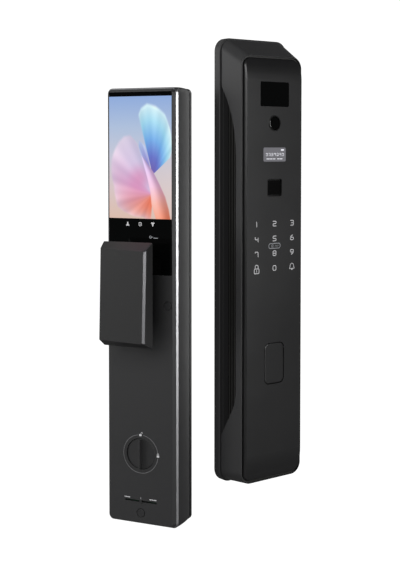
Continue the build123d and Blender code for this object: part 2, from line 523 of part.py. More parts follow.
TURN_FACE = FACE_FRONT - 1.0                      # the disc sits a little below the face
FIN_T, FIN_L, FIN_UP = 1.8, 27.6, 4.0             # the fin across it, and its height over the face
with BuildPart() as thumb_turn:
    rod(IN, 26.5, TURN_FACE, TURN_R, [(0, TURN_Z)])
    fillet(thumb_turn.faces().sort_by(Axis.X)[0].edges(), 0.4)
    rod(IN, 16.0, 26.5, 6.0, [(0, TURN_Z)])
    slab(IN, TURN_FACE - 1, FACE_FRONT + FIN_UP, FIN_T, FIN_L, 0.8, at=(0, TURN_Z))
    fillet(thumb_turn.faces().sort_by(Axis(IN.origin, IN.z_dir))[-1].edges(), 0.3)
save(thumb_turn, "thumb_turn")

with BuildPart() as thumb_turn_spindle:
    slab(IN, 2.0, 15.95, 7.0, 7.0, 0.5, at=(0, TURN_Z))
save(thumb_turn_spindle, "thumb_turn_spindle")

with BuildPart() as spindle_bush:
    rod(IN, 17.0, 23.0, 11.0, [(0, TURN_Z)])
    slab(IN, 17.0, 19.0, 44, 16, 2, at=(0, TURN_Z))
    rod(IN, 16, 24, 6.0 + FIT, [(0, TURN_Z)], mode=Mode.SUBTRACT)
save(spindle_bush, "spindle_bush")

with BuildPart() as mode_slider:
    slab(IN, FACE_FRONT + 0.15, FACE_FRONT + 0.8, 2.2, 3.6, 0.5, at=(0, SLOT_Z - 0.5))
    slab(IN, 33.0, FACE_FRONT + 0.2, 1.6, SLOT_H - 0.5, 0.3, at=(0, SLOT_Z))
    slab(IN, 31.4, 33.0, 9, 6, 0.5, at=(0, SLOT_Z))
save(mode_slider, "mode_slider")

with BuildPart() as mode_switch:
    slab(IN, 27.5, 31.0, 42, 9, 0.6, at=(0, SLOT_Z))
save(mode_switch, "mode_switch")

with BuildPart() as battery_pack:
    slab(IN, 7.0, 27.0, 56, 84, 3, at=(0, -65))
save(battery_pack, "battery_pack")

with BuildPart() as battery_tray:
    slab(IN, 4.0, 24.0, 61, 89, 4, at=(0, -65))
    slab(IN, 6.8, 25.0, 56.4, 84.4, 3, at=(0, -65), mode=Mode.SUBTRACT)
save(battery_tray, "battery_tray")

with BuildPart() as inside_main_board:
    slab(IN, 16.0, 17.6, 58, 108, 2, at=(0, 138))
    for x, z, w, h in ((-14, 175, 14, 14), (12, 160, 18, 12), (-10, 130, 12, 12), (16, 115, 10, 16)):
        slab(IN, 17.6, 19.4, w, h, 0.5, at=(x, z))
    slab(IN, 12.0, 16.0, 18, 8, 0.5, at=(0, INSIDE_CABLE_Z))
save(inside_main_board, "inside_main_board")

with BuildPart() as inside_speaker:
    rod(IN, 6.0, 12.0, 12.0, [(16, -179)])
    rod(IN, 12.0, 13.5, 5.5, [(16, -179)])
save(inside_speaker, "inside_speaker")
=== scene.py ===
import json

import bpy
import numpy as np
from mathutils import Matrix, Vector


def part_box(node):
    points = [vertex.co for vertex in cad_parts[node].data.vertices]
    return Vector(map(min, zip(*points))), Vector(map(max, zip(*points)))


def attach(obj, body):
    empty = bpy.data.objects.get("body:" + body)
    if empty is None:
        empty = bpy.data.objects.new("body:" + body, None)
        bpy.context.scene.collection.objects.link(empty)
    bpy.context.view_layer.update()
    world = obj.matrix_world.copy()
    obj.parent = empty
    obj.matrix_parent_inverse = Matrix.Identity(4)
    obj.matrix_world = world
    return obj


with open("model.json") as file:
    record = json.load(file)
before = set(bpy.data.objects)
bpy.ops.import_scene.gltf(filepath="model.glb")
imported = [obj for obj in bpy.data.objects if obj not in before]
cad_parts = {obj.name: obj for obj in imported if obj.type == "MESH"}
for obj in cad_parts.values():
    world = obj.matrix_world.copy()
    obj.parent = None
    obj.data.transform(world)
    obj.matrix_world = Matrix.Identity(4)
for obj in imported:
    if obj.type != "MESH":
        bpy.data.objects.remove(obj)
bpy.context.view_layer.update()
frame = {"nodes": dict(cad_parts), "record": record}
nodes = frame["nodes"]
record = frame["record"]
MM = 0.001

# ------------------------------------------------------------------------------------------
# The two units' own axes. A place on a unit is (x, z, depth) in millimetres from the middle
# of its mounting face: x to its user's right, z up, and depth towards its user.
# ------------------------------------------------------------------------------------------
RIGHT, UP, OUTWARD = 1, 2, 3


def unit_axes(mount_name):
    """Origin, right, up and outward vectors of a unit, from the mount on its mounting face."""
    mount = next(m for m in record["mounts"] if m["name"] == mount_name)
    outward, up = -np.array(mount["axis"], float), np.array([0.0, 0.0, 1.0])
    return np.array(mount["pos_m"], float), np.cross(up, outward), up, outward


OUTSIDE, INSIDE = unit_axes("outside_back_face"), unit_axes("inside_back_face")


def place(unit, x, z, depth):
    """Metres in the shared frame: the unit's origin plus each coordinate along its own axis."""
    x, z, depth = np.broadcast_arrays(*(np.asarray(v, float) for v in (x, z, depth)))
    origin, right, up, outward = unit
    return origin + MM * (x[..., None] * right + z[..., None] * up + depth[..., None] * outward)


def span(node, unit, axis):
    """Lowest and highest coordinate of a CAD node along one axis of its unit, in millimetres."""
    mesh = nodes[node].data
    points = np.empty(len(mesh.vertices) * 3, np.float32)
    mesh.vertices.foreach_get("co", points)
    along = (points.reshape(-1, 3) - unit[0]) @ unit[axis] / MM
    return float(along.min()), float(along.max())


def middle(node, unit, axis):
    """Middle of a CAD node along one axis of its unit, in millimetres."""
    return sum(span(node, unit, axis)) / 2


def add_object(name, data):
    """A new object holding that mesh, camera or light, linked to the scene."""
    thing = bpy.data.objects.new(name, data)
    bpy.context.scene.collection.objects.link(thing)
    return thing


# ------------------------------------------------------------------------------------------
# Camera: to the left of the outside unit's front, tilted a little down and framed by its shift
# ------------------------------------------------------------------------------------------
VIEW_TURN, VIEW_TILT = np.radians((37.54, 2.47))
AHEAD = np.array([np.sin(VIEW_TURN), np.cos(VIEW_TURN), 0.0])
ASIDE = np.array([np.cos(VIEW_TURN), -np.sin(VIEW_TURN), 0.0])
UPWARD = np.array([0.0, 0.0, 1.0])
CAMERA_BACK, CAMERA_LEFT, CAMERA_DROP = 1.0455, 0.0704, 0.0850   # metres from the panel's top
LENS, SENSOR, SHIFT = 70.07, 36.0, -0.155


def make_camera():
    """A camera looking along AHEAD, tilted down, placed from the top middle of the front panel."""
    low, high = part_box("outside_front_panel")
    panel_top = np.array([(low.x + high.x) / 2, low.y, high.z])
    look = np.cos(VIEW_TILT) * AHEAD - np.sin(VIEW_TILT) * UPWARD
    camera = add_object("camera", bpy.data.cameras.new("camera"))
    camera.location = panel_top - CAMERA_BACK * AHEAD - CAMERA_LEFT * ASIDE - CAMERA_DROP * UPWARD
    camera.rotation_euler = Vector(look).to_track_quat("-Z", "Y").to_euler()
    camera.data.sensor_width, camera.data.lens, camera.data.shift_y = SENSOR, LENS, SHIFT
    bpy.context.scene.camera = camera


make_camera()

# ------------------------------------------------------------------------------------------
# Shader groups, each built once and used by many materials
# ------------------------------------------------------------------------------------------


def add(tree, kind, **settings):
    """A shader node with its properties set."""
    node = tree.nodes.new(kind)
    for key, value in settings.items():
        setattr(node, key, value)
    return node


def feed(tree, socket, value):
    """Link a socket, or set it to a number or a colour."""
    if isinstance(value, bpy.types.NodeSocket):
        tree.links.new(value, socket)
    elif isinstance(value, tuple):
        socket.default_value = (*value, 1.0)
    else:
        socket.default_value = value


def calc(tree, operation, first, second, clamp=False):
    """A math node; each operand is a socket or a number."""
    node = add(tree, "ShaderNodeMath", operation=operation, use_clamp=clamp)
    feed(tree, node.inputs[0], first)
    feed(tree, node.inputs[1], second)
    return node.outputs[0]


def blend_colors(tree, mask, first, second):
    """The first colour where the mask is 0 and the second where it is 1."""
    node = add(tree, "ShaderNodeMix", data_type="RGBA")
    feed(tree, node.inputs["Factor"], mask)
    feed(tree, node.inputs[6], first)
    feed(tree, node.inputs[7], second)
    return node.outputs[2]


def noise(tree, spot, scale, detail, rough=0.5):
    """Noise between 0 and 1 at those coordinates."""
    node = add(tree, "ShaderNodeTexNoise")
    feed(tree, node.inputs["Vector"], spot)
    feed(tree, node.inputs["Scale"], scale)
    feed(tree, node.inputs["Detail"], detail)
    feed(tree, node.inputs["Roughness"], rough)
    return node.outputs["Fac"]


def new_group(name, inputs, outputs):
    """An empty shader group with float inputs {name: default} and float outputs."""
    group = bpy.data.node_groups.new(name, "ShaderNodeTree")
    for label, value in inputs.items():
        socket = group.interface.new_socket(label, in_out="INPUT", socket_type="NodeSocketFloat")
        socket.default_value = value
    for label in outputs:
        group.interface.new_socket(label, in_out="OUTPUT", socket_type="NodeSocketFloat")
    return group, group.nodes.new("NodeGroupInput").outputs, group.nodes.new("NodeGroupOutput").inputs


def make_coat_group():
    """Powder grain for the bump, handling haze for the roughness, and sparse specks of dust."""
    group, source, sink = new_group(
        "coat_texture", {"Grain Scale": 1800.0, "Haze Scale": 14.0}, ("Grain", "Haze", "Dust"))
    spot = add(group, "ShaderNodeTexCoord").outputs["Object"]
    feed(group, sink["Grain"], noise(group, spot, source["Grain Scale"], 2.0))
    smears = noise(group, spot, source["Haze Scale"], 5.0, 0.6)
    feed(group, sink["Haze"], calc(group, "SUBTRACT", smears, 0.5))
    specks = noise(group, spot, 520.0, 1.0)
    feed(group, sink["Dust"], calc(group, "GREATER_THAN", specks, 0.76))
    return group


def make_edge_group():
    """1 along edges and 0 on flats, rounded against flat: where a coat wears thin and pale, and where a
    highlight is painted.
    """
    group, source, sink = new_group("edge_wear_and_highlight", {"Radius": 0.0005}, ("Mask",))
    rounded_normal = add(group, "ShaderNodeBevel", samples=4)
    feed(group, rounded_normal.inputs["Radius"], source["Radius"])
    agreement = add(group, "ShaderNodeVectorMath", operation="DOT_PRODUCT")
    feed(group, agreement.inputs[0], rounded_normal.outputs["Normal"])
    feed(group, agreement.inputs[1], add(group, "ShaderNodeNewGeometry").outputs["Normal"])
    bend = calc(group, "SUBTRACT", 1.0, agreement.outputs["Value"], clamp=True)
    feed(group, sink["Mask"], calc(group, "MULTIPLY", bend, 5.0, clamp=True))
    return group


def make_brush_group():
    """Fine lines drawn out along z, for brushed and turned metal."""
    group, source, sink = new_group("brush_lines", {"Line Scale": 4000.0}, ("Lines",))
    stretch = add(group, "ShaderNodeMapping")
    feed(group, stretch.inputs["Vector"], add(group, "ShaderNodeTexCoord").outputs["Object"])
    stretch.inputs["Scale"].default_value = (1.0, 1.0, 0.02)
    feed(group, sink["Lines"], noise(group, stretch.outputs["Vector"], source["Line Scale"], 3.0))
    return group


COAT, EDGE, BRUSH = make_coat_group(), make_edge_group(), make_brush_group()


def new_material(name, **values):
    """A material whose Principled sockets are set by name, underscores standing for spaces."""
    material = bpy.data.materials.new(name)
    material.use_nodes = True
    shader = material.node_tree.nodes["Principled BSDF"]
    for key, value in values.items():
        feed(material.node_tree, shader.inputs[key.replace("_", " ")], value)
    return material, material.node_tree, shader


def bump(tree, shader, height, strength, distance=0.0002):
    """Relief on a shader's normal from a height between 0 and 1."""
    node = add(tree, "ShaderNodeBump")
    feed(tree, node.inputs["Strength"], strength)
    feed(tree, node.inputs["Distance"], distance)
    feed(tree, node.inputs["Height"], height)
    feed(tree, shader.inputs["Normal"], node.outputs["Normal"])


def coated(name, color, rough, grain=1800.0, relief=0.06, haze=0.10, wear_and_highlight=0.2, **values):
    """A painted or moulded surface: grain, hazy gloss, a little dust, and paler edges that are part wear and
    part painted highlight.
    """
    material, tree, shader = new_material(name, **values)
    coat = add(tree, "ShaderNodeGroup", node_tree=COAT)
    feed(tree, coat.inputs["Grain Scale"], grain)
    shine = calc(tree, "MULTIPLY", coat.outputs["Haze"], haze)
    feed(tree, shader.inputs["Roughness"], calc(tree, "ADD", shine, rough, clamp=True))
    edge = add(tree, "ShaderNodeGroup", node_tree=EDGE)
    # Edges are made paler than the flats: partly wear, partly a painted highlight along them.
    wear_and_highlight_mask = calc(tree, "MULTIPLY", edge.outputs["Mask"], wear_and_highlight)
    base = blend_colors(tree, wear_and_highlight_mask, color, tuple(2.6 * c + 0.03 for c in color))
    dust = calc(tree, "MULTIPLY", coat.outputs["Dust"], 0.3)
    dusty = blend_colors(tree, dust, base, tuple(1.5 * c + 0.006 for c in color))
    feed(tree, shader.inputs["Base Color"], dusty)
    bump(tree, shader, coat.outputs["Grain"], relief)
    return material


def brushed(name, color, rough, lines=4000.0, relief=0.05):
    """Bare metal with fine lines in its gloss, its colour and its relief."""
    material, tree, shader = new_material(name, Metallic=1.0)
    brush = add(tree, "ShaderNodeGroup", node_tree=BRUSH)
    feed(tree, brush.inputs["Line Scale"], lines)
    streaks = calc(tree, "MULTIPLY", calc(tree, "SUBTRACT", brush.outputs["Lines"], 0.5), 0.3)
    feed(tree, shader.inputs["Roughness"], calc(tree, "ADD", streaks, rough, clamp=True))
    tone = blend_colors(tree, brush.outputs["Lines"], tuple(0.8 * c for c in color), color)
    feed(tree, shader.inputs["Base Color"], tone)
    bump(tree, shader, brush.outputs["Lines"], relief)
    return material


def glassy(name, color, rough=0.05, **values):
    """Dark cover glass: nearly flat colour, mirror gloss, faint finger smears."""
    return coated(name, color, rough, relief=0.0, haze=0.06, wear_and_highlight=0.0, IOR=1.5, **values)


MATERIALS = {
    "charcoal_metal": coated("charcoal_metal", (0.026, 0.026, 0.0268), 0.48, Specular_IOR_Level=0.35),
    "handle_metal": coated("handle_metal", (0.022, 0.022, 0.0222), 0.48, grain=1300.0, relief=0.12,
                           Specular_IOR_Level=0.35),
    "panel_polymer": coated("panel_polymer", (0.010, 0.010, 0.0104), 0.33, grain=2600.0, relief=0.03),
    "grip_plastic": coated("grip_plastic", (0.014, 0.014, 0.0128), 0.42),
    "black_glass": glassy("black_glass", (0.0012, 0.0014, 0.0013)),
    "display_cover": glassy("display_cover", (0.06, 0.06, 0.065), 0.12, Emission_Strength=1.0,
                            Emission_Color=(0.125, 0.123, 0.135)),
    "bright_trim": brushed("bright_trim", (0.36, 0.36, 0.37), 0.36),
    "foam_rubber": coated("foam_rubber", (0.012, 0.012, 0.012), 0.85, grain=900.0, relief=0.5),
    "black_coat": coated("black_coat", (0.003, 0.003, 0.003), 0.35, wear_and_highlight=0.05, Specular_IOR_Level=0.3),
    "sensor_black": glassy("sensor_black", (0.001, 0.001, 0.001), 0.14),
    "turn_metal": coated("turn_metal", (0.022, 0.022, 0.0225), 0.45, Specular_IOR_Level=0.4),
    "button_metal": coated("button_metal", (0.022, 0.022, 0.0228), 0.45, Specular_IOR_Level=0.35),
    "steel": brushed("steel", (0.5, 0.5, 0.52), 0.35),
    "brass": brushed("brass", (0.55, 0.40, 0.17), 0.32),
    "circuit_board": coated("circuit_board", (0.010, 0.05, 0.025), 0.45),
    "module_grey": coated("module_grey", (0.10, 0.10, 0.105), 0.5),
    "lit_display": glassy("lit_display", (0.05, 0.06, 0.08)),
    "battery_wrap": coated("battery_wrap", (0.012, 0.04, 0.12), 0.4),
    "tray_plastic": coated("tray_plastic", (0.02, 0.02, 0.021), 0.5),
}
for subpart in record["subparts"]:
    mesh = nodes[subpart["node"]].data
    mesh.materials.clear()
    mesh.materials.append(MATERIALS[subpart["material_slot"]])


PART_WAY = 0.4   # a face turned at least this far both sideways and outward is on a chamfer


def polish_grip_edges():
    """The two long chamfers of the handle's face are cut bright: faces that look part way round."""
    mesh = nodes["handle_grip"].data
    mesh.materials.append(brushed("cut_edge", (0.19, 0.19, 0.197), 0.38))
    normals = np.empty(len(mesh.polygons) * 3, np.float32)
    mesh.polygons.foreach_get("normal", normals)
    normals = normals.reshape(-1, 3)
    sideways, outward = np.abs(normals @ INSIDE[RIGHT]), normals @ INSIDE[OUTWARD]
    cut = (sideways > PART_WAY) & (outward > PART_WAY)
    mesh.polygons.foreach_set("material_index", cut.astype(np.int32))


polish_grip_edges()

# ------------------------------------------------------------------------------------------
# Printed marks: flat shapes a hair in front of the surface they are printed on
# ------------------------------------------------------------------------------------------
PRINT_LIFT = 0.05


def ink(name, color, glow):
    """Lit print: opaque, slightly rough, with a weak glow and mottled gloss."""
    material, tree, shader = new_material(name, Base_Color=color, Emission_Color=color,
                                          Emission_Strength=glow)
    mottle = noise(tree, add(tree, "ShaderNodeTexCoord").outputs["Object"], 900.0, 2.0)
    feed(tree, shader.inputs["Roughness"], calc(tree, "ADD", calc(tree, "MULTIPLY", mottle, 0.2), 0.4))
    return material


WHITE_INK = ink("white_ink", (0.50, 0.50, 0.51), 0.20)
# Grey ink with a weak glow draws the thumb turn's ring: print, and a painted highlight of the bezel's edge.
GREY_RING_HIGHLIGHT_INK = ink("grey_ink_ring_highlight", (0.16, 0.16, 0.165), 0.05)
DIM_INK = ink("dim_ink", (0.30, 0.31, 0.33), 0.10)
DISPLAY_INK = ink("display_ink", (0.75, 0.75, 0.80), 0.35)


def eased(path, radius, closed=False):
    """The path with each corner cut back by the radius and joined by a parabolic curve."""
    path = np.asarray(path, float)
    last = len(path)
    out = [] if closed else [path[:1]]
    bends = range(last) if closed else range(1, last - 1)
    t = np.linspace(0, 1, 6)[:, None]
    for i in bends:
        before, corner, after = path[i - 1], path[i], path[(i + 1) % last]
        runs = [np.linalg.norm(before - corner), np.linalg.norm(after - corner)]
        cut = min(radius, 0.49 * runs[0], 0.49 * runs[1])
        start = corner + (before - corner) * cut / runs[0]
        end = corner + (after - corner) * cut / runs[1]
        out.append((1 - t) ** 2 * start + 2 * t * (1 - t) * corner + t ** 2 * end)
    if not closed:
        out.append(path[-1:])
    return np.concatenate(out)


def arc(centre, radius, first, last, steps=40):
    """Points round a centre, from one clock angle to another; 0 is up and 90 is to the right."""
    angle = np.radians(np.linspace(first, last, steps))
    return np.stack([centre[0] + radius * np.sin(angle), centre[1] + radius * np.cos(angle)], -1)


def line(path, width, closed=False):
    """A drawn line: two edges half a width either side of the path, with half-round ends."""
    path = np.asarray(path, float)
    half = np.full(len(path), width / 2)
    if not closed:
        swing = np.radians([30.0, 60.0, 85.0])
        rim = np.cos(swing) * width / 2
        for _ in range(2):
            direction = (path[-1] - path[-2]) / np.linalg.norm(path[-1] - path[-2])
            cap = path[-1] + np.sin(swing)[:, None] * width / 2 * direction
            path, half = np.concatenate([path, cap])[::-1], np.concatenate([half, rim])[::-1]
    before, after = np.roll(path, 1, 0), np.roll(path, -1, 0)
    if not closed:
        before[0], after[-1] = path[0], path[-1]
    along = after - before
    along = along / np.linalg.norm(along, axis=1, keepdims=True)
    across = np.stack([-along[:, 1], along[:, 0]], -1) * half[:, None]
    n = len(path)
    i = np.arange(n if closed else n - 1)
    j = (i + 1) % n
    return np.concatenate([path + across, path - across]), np.stack([i, i + n, j + n, j], -1).tolist()


def patch(outline):
    """A filled shape: one face inside its outline, given anticlockwise."""
    return np.asarray(outline, float), [list(range(len(outline)))]


def grid_faces(rows, columns):
    """Quads over a grid of points numbered row by row."""
    index = np.arange(rows * columns).reshape(rows, columns)
    corners = (index[:-1, :-1], index[:-1, 1:], index[1:, 1:], index[1:, :-1])
    return np.stack(corners, -1).reshape(-1, 4).tolist()


def print_marks(name, unit, surface, shapes, material):
    """One printed piece made of lines and patches, laid just off a surface of its unit."""
    points, faces = np.zeros((0, 2)), []
    for shape_points, shape_faces in shapes:
        faces += [[len(points) + index for index in face] for face in shape_faces]
        points = np.concatenate([points, shape_points])
    mesh = bpy.data.meshes.new(name)
    mesh.from_pydata(place(unit, points[:, 0], points[:, 1], surface + PRINT_LIFT).tolist(), [], faces)
    mesh.materials.append(material)
    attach(add_object(name, mesh), "lock")


def scaled(path, centre, half_width, half_height):
    """A path drawn on a grid from -1 to 1, brought to its centre and size."""
    return np.asarray(path, float) * (half_width, half_height) + centre


SQUARE = ((-1, -1), (1, -1), (1, 1), (-1, 1))
# Each digit is (open paths, closed paths) on a grid from -1 to 1.
DIGITS = {
    "0": ((), (SQUARE,)),
    "1": ((((-0.15, 1), (0, 0.85), (0, -1)),), ()),
    "2": ((((-1, 1), (1, 1), (1, 0), (-1, 0), (-1, -1), (1, -1)),), ()),
    "3": ((((-0.9, 1), (1, 1), (1, -1), (-0.9, -1)), ((-0.3, 0), (0.9, 0))), ()),
    "4": ((((-0.95, 0.9), (-0.95, -0.1), (0.9, -0.1)), ((0.9, 0.6), (0.9, -1))), ()),
    "5": ((((1, 1), (-1, 1), (-1, 0), (1, 0), (1, -1), (-1, -1)),), ()),
    "6": ((((0.4, 1), (-1, 0.3), (-1, -1), (1, -1), (1, 0.05), (-0.9, 0.05)),), ()),
    "7": ((((-0.95, 0.6), (-0.95, 1), (0.9, 1), (0.9, -1)),), ()),
    "8": ((((-0.9, 0), (0.9, 0)),), (SQUARE,)),
    "9": ((((-0.4, -1), (1, -0.3), (1, 1), (-1, 1), (-1, -0.05), (0.9, -0.05)),), ()),
}
KEY_STEP_X, KEY_STEP_Z = 22.1, 14.0
DIGIT_HALF_W, DIGIT_HALF_H, DIGIT_LINE = 1.9, 2.25, 0.75
PANEL_FACE = span("outside_front_panel", OUTSIDE, OUTWARD)[1]
KEYS_MIDDLE = middle("touch_board", OUTSIDE, UP)


def key_place(column, row):
    """Middle of a key, by its column from the left and its row from the top, from 0."""
    return (column - 1) * KEY_STEP_X, KEYS_MIDDLE + (1.5 - row) * KEY_STEP_Z


def print_digit(digit, centre):
    """One digit in rounded square strokes on its key."""
    open_paths, closed_paths = DIGITS[digit]
    size = (centre, DIGIT_HALF_W, DIGIT_HALF_H)
    shapes = [line(eased(scaled(p, *size), 1.1), DIGIT_LINE) for p in open_paths]
    shapes += [line(eased(scaled(p, *size), 1.4, True), DIGIT_LINE, True) for p in closed_paths]
    print_marks(f"digit_{digit}", OUTSIDE, PANEL_FACE, shapes, WHITE_INK)


def padlock(centre, half_width, height, width, opened=False):
    """A padlock in outline: a rounded body, a shackle above it and a keyhole bar."""
    x, z = centre
    body = scaled(SQUARE, (x, z - 0.22 * height), half_width, 0.28 * height)
    leg = 0.62 * half_width
    turned = x + (1.1 * half_width if opened else 0)
    foot, crown = z + 0.06 * height, z + height / 2
    shackle = ((turned - leg, foot), (turned - leg, crown), (turned + leg, crown),
               (turned + leg, foot + (0.2 * height if opened else 0)))
    keyhole = ((x, z - 0.12 * height), (x, z - 0.32 * height))
    return [line(eased(body, 0.3 * half_width, True), width, True),
            line(eased(shackle, leg), width), line(keyhole, width)]


def bell(centre, half_width, height, width):
    """A bell in outline: a dome that flares to its lip, and a clapper under it."""
    dome = ((-1, -0.55), (1, -0.55), (0.68, -0.2), (0.6, 0.62), (0, 1), (-0.6, 0.62), (-0.68, -0.2))
    clapper = arc((centre[0], centre[1] - 0.62 * height / 2), 0.26 * half_width, 100, 260, 9)
    return [line(eased(scaled(dome, centre, half_width, height / 2), 0.9, True), width, True),
            line(clapper, width)]


def print_panel_symbols():
    """The lock key, the bell key and the card mark between the 5 and the 8."""
    lock_at, bell_at, card_at = key_place(0, 3), key_place(2, 3), (0, KEYS_MIDDLE)
    print_marks("lock_key_mark", OUTSIDE, PANEL_FACE, padlock(lock_at, 2.9, 7.9, 0.75), WHITE_INK)
    print_marks("bell_key_mark", OUTSIDE, PANEL_FACE, bell(bell_at, 3.5, 6.6, 0.6), WHITE_INK)
    card = [line(eased(scaled(SQUARE, card_at, 7.1, 2.3), 2.3, True), 0.6, True)]
    card += [line(arc((-5.2, KEYS_MIDDLE), r, 50, 130, 9), 0.35) for r in (1.6, 2.6, 3.6)]
    card += [line(((x, KEYS_MIDDLE - 0.7), (x + 1.1, KEYS_MIDDLE + 0.7)), 0.35) for x in (0.6, 2.2, 3.8)]
    print_marks("card_mark", OUTSIDE, PANEL_FACE, card, DIM_INK)


def print_status_display():
    """The small status display: a battery, a row of plain block signs and a row of dashes."""
    left, right = span("display_window", OUTSIDE, RIGHT)
    low, high = span("display_window", OUTSIDE, UP)
    face = span("display_window", OUTSIDE, OUTWARD)[1]
    battery = scaled(SQUARE, (right - 4.4, high - 2.3), 1.7, 0.75)
    shapes = [patch(battery), patch(scaled(SQUARE, (right - 2.45, high - 2.3), 0.22, 0.35))]
    row = low + 0.5 * (high - low)
    for index, x in enumerate(np.linspace(left + 4.2, right - 3.6, 7)):
        cell = scaled(SQUARE, (x, row), 0.95, 1.15)
        bar = row + (0.5, -0.45, 0.1)[index % 3]
        shapes += [line(cell[(index % 2):], 0.42), line(((x - 0.9, bar), (x + 0.9, bar)), 0.38)]
    row = low + 0.19 * (high - low)
    for x, length in ((-9.8, 3.2), (-5.4, 2.2), (-2.0, 2.6), (3.4, 2.0), (6.4, 3.0)):
        shapes.append(line(((x, row), (x + length, row)), 0.75))
    print_marks("status_signs", OUTSIDE, face, shapes, DISPLAY_INK)


for index, digit in enumerate("123456789"):
    print_digit(digit, key_place(index % 3, index // 3))
print_digit("0", key_place(1, 3))
print_panel_symbols()
print_status_display()

# ------------------------------------------------------------------------------------------
# The inside unit's marks
# ------------------------------------------------------------------------------------------
FACE = span("inside_face_plate", INSIDE, OUTWARD)[1]
TURN_AT = (middle("thumb_turn", INSIDE, RIGHT), middle("thumb_turn", INSIDE, UP))
RING_R = 18.3


def print_turn_marks():
    """A fine grey ring round the thumb turn, broken at an open padlock above and a shut one beside: print
    that is also a painted highlight standing for the bezel's bright edge.
    """
    # The grey ring is a painted highlight of the bezel's edge as well as print.
    ring = [line(arc(TURN_AT, RING_R, 98, 351, 120), 0.42), line(arc(TURN_AT, RING_R, 9, 82, 50), 0.42)]
    print_marks("turn_ring_highlight", INSIDE, FACE, ring, GREY_RING_HIGHLIGHT_INK)
    above = (TURN_AT[0] - 0.3, TURN_AT[1] + RING_R + 0.4)
    beside = (TURN_AT[0] + RING_R, TURN_AT[1] + 0.2)
    for name, centre, opened in (("open_mark", above, True), ("shut_mark", beside, False)):
        body = patch(scaled(SQUARE, (centre[0], centre[1] - 0.6), 1.25, 0.95))
        shackle = padlock(centre, 1.25, 4.0, 0.4, opened)[1]
        print_marks(name, INSIDE, FACE, [body, shackle], WHITE_INK)


def print_slider_marks():
    """Over the mode slider: a group of dots, a tick at its middle and a group of dashes."""
    z = middle("mode_switch", INSIDE, UP) + 2.75
    marks = [line(((x, z), (x + 0.7, z)), 0.85) for x in (-17.2, -15.6, -14.0, -12.5)]
    marks += [line(((x, z), (x + w, z)), 0.85) for x, w in ((9.6, 1.6), (12.2, 0.9), (14.1, 2.2))]
    marks.append(line(((0, z - 0.5), (0, z + 0.9)), 0.45))
    print_marks("slider_marks", INSIDE, FACE, marks, WHITE_INK)


PERSON = ((-1, -0.9), (1, -0.9), (0.75, -0.35), (0.35, 0.1), (0.3, 1), (-0.3, 1), (-0.35, 0.1),
          (-0.75, -0.35))
FUNNEL = ((-0.25, -1), (0.25, -1), (0.4, 0.1), (1, 0.6), (0.8, 1), (-0.8, 1), (-1, 0.6), (-0.4, 0.1))


def print_screen_keys(z):
    """Three touch marks under the picture, and a small key mark lower down to the right."""
    step, size = 13.3, 1.9
    shapes = [patch(scaled(PERSON, (-step, z), size, size)),
              line(eased(scaled(SQUARE, (0, z), 1.3, 1.6), 1.2, True), 0.55, True),
              line(((0, z - 0.5), (0, z + 0.5)), 0.5),
              patch(scaled(FUNNEL, (step, z), size, size))]
    print_marks("screen_keys", INSIDE, FACE, shapes, WHITE_INK)
    low = z - 12.2
    key = [line(arc((10.9, low + 0.3), 1.0, 0, 345, 24), 0.5),
           line(((12, low + 0.3), (13.6, low + 0.3)), 0.45)]
    key += [line(((x, low - 0.6), (x + 0.8, low - 0.6)), 0.7) for x in (14.4, 15.9, 17.4)]
    print_marks("key_mark", INSIDE, FACE, key, DIM_INK)


print_turn_marks()
print_slider_marks()

# ------------------------------------------------------------------------------------------
# The lit screen: a fine grid whose colours are worked out by formula, an abstract flower
# ------------------------------------------------------------------------------------------
SCREEN_W, SCREEN_H = 66.0, 115.0
SCREEN_COLUMNS, SCREEN_ROWS = 200, 346
SCREEN_Z = middle("screen_module", INSIDE, UP)
TOUCH_KEYS_DOWN = 62.8   # from the picture's middle to the row of marks under it


def ramp(amount, stops):
    """A colour along evenly spaced stops; the amount runs from 0 at the first to 1 at the last."""
    stops = np.asarray(stops, float)
    at = np.linspace(0, 1, len(stops))
    return np.stack([np.interp(amount, at, stops[:, channel]) for channel in range(3)], -1)


def smooth(value):
    """0 below 0, 1 above 1, and an S-shaped curve between."""
    value = np.clip(value, 0, 1)
    return value * value * (3 - 2 * value)


def petal(u, v, base, turns, reaches):
    """A petal that fans out from its base: its cover, and how far out and how turned a point is.

    Its reach is interpolated over the turn about the base, in degrees clockwise from up. The
    cover fades softly at the rim and at the first and last turn.
    """
    across, upward = u - base[0], (v - base[1]) * SCREEN_H / SCREEN_W
    turn = np.degrees(np.arctan2(across, upward))
    out = np.hypot(across, upward) / np.interp(turn, turns, reaches)
    cover = smooth((1 - out) * 16) * smooth((turn - turns[0]) / 2.5) * smooth((turns[-1] - turn) / 2.5)
    return cover[..., None], np.clip(out, 0, 1), turn


def folds(turn, out, count, depth):
    """Pleats that fan out from a petal's base: two sine waves of the turn, bending as they go out."""
    wave = np.sin(np.radians(turn * count + 90 * out)) + 0.5 * np.sin(np.radians(turn * count * 2.7))
    return depth * (wave * out)[..., None] * np.array([1.0, 0.85, 0.7])


def over(picture, cover, color):
    """A colour laid over the picture by its cover."""
    return picture * (1 - cover) + color * cover


